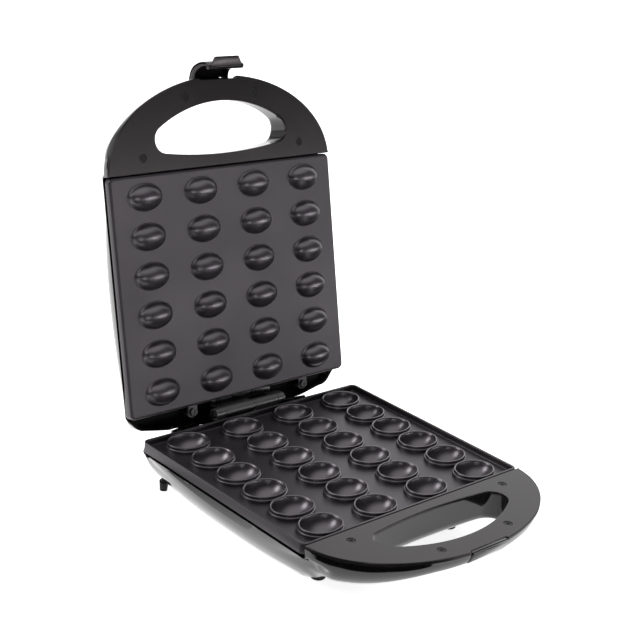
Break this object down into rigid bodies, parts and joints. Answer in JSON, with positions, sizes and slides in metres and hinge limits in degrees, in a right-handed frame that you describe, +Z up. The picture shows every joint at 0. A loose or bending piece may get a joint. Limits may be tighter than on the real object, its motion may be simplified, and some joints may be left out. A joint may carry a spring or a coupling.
{
  "type": "cookie maker",
  "caption": "Countertop cooker with a hinged lid, rimmed oval bowls and matching domes, split loop handle and front latch, shown open.",
  "frame": {"origin": "table level under the middle of the open object", "axes": "+X to the right across the object, +Y from the handle to the hinge, +Z up"},
  "size_m": [0.2392, 0.3804, 0.3557],
  "materials": {
    "gloss_housing": "high gloss black",
    "satin_plastic": "fine satin black",
    "nonstick_casting": "satin non-stick coating, dark grey",
    "dark_screw": "blackened steel",
    "rubber": "matt black",
    "element_steel": "heat-dulled steel",
    "reflector_sheet": "mill finish sheet",
    "hinge_metal": "dark painted casting",
    "ceramic_block": "unglazed",
    "lead_insulation": "woven glass sleeve, pale",
    "lamp_lens": "clear coloured",
    "lamp_glass": "clear",
    "switch_metal": "pressed steel"
  },
  "bodies": {
    "base": {"base_shell": "gloss_housing", "base_handle_plate": "satin_plastic", "base_handle_screws": "dark_screw", "lower_cooking_plate": "nonstick_casting", "lower_plate_screws": "dark_screw", "latch_catch": "satin_plastic", "front_feet": "rubber", "rear_feet": "rubber", "lower_heating_element": "element_steel", "lower_element_clips": "element_steel", "lower_clip_screws": "dark_screw", "lower_heat_reflector": "reflector_sheet", "lower_reflector_screws": "dark_screw", "base_hinge_bracket": "hinge_metal", "base_hinge_screws": "dark_screw", "hinge_pin": "dark_screw", "cord_inlet_bush": "rubber", "thermostat": "switch_metal", "thermal_fuse": "switch_metal", "terminal_block": "ceramic_block", "base_wiring": "lead_insulation"},
    "lid": {"lid_shell": "gloss_housing", "lid_handle_plate": "satin_plastic", "lid_handle_screws": "dark_screw", "upper_cooking_plate": "nonstick_casting", "upper_plate_screws": "dark_screw", "upper_heating_element": "element_steel", "upper_element_clips": "element_steel", "upper_clip_screws": "dark_screw", "upper_heat_reflector": "reflector_sheet", "upper_reflector_screws": "dark_screw", "lid_hinge_bracket": "hinge_metal", "lid_hinge_screws": "dark_screw", "lid_wiring": "lead_insulation", "lamp_lenses": "lamp_lens", "lamp_bodies": "lamp_glass", "latch_pin": "dark_screw"},
    "latch": {"latch": "satin_plastic"}
  },
  "joints": [
    {"name": "lid_hinge", "type": "hinge", "parent": "base", "child": "lid", "pos_m": [0, 0.09682, 0.05451], "axis": [1, 0, 0], "range_deg": [0, 104.31]},
    {"name": "latch_pivot", "type": "hinge", "parent": "lid", "child": "latch", "pos_m": [0, 0.18061, 0.32393], "axis": [1, 0, 0], "range_deg": [0, 16]}
  ]
}
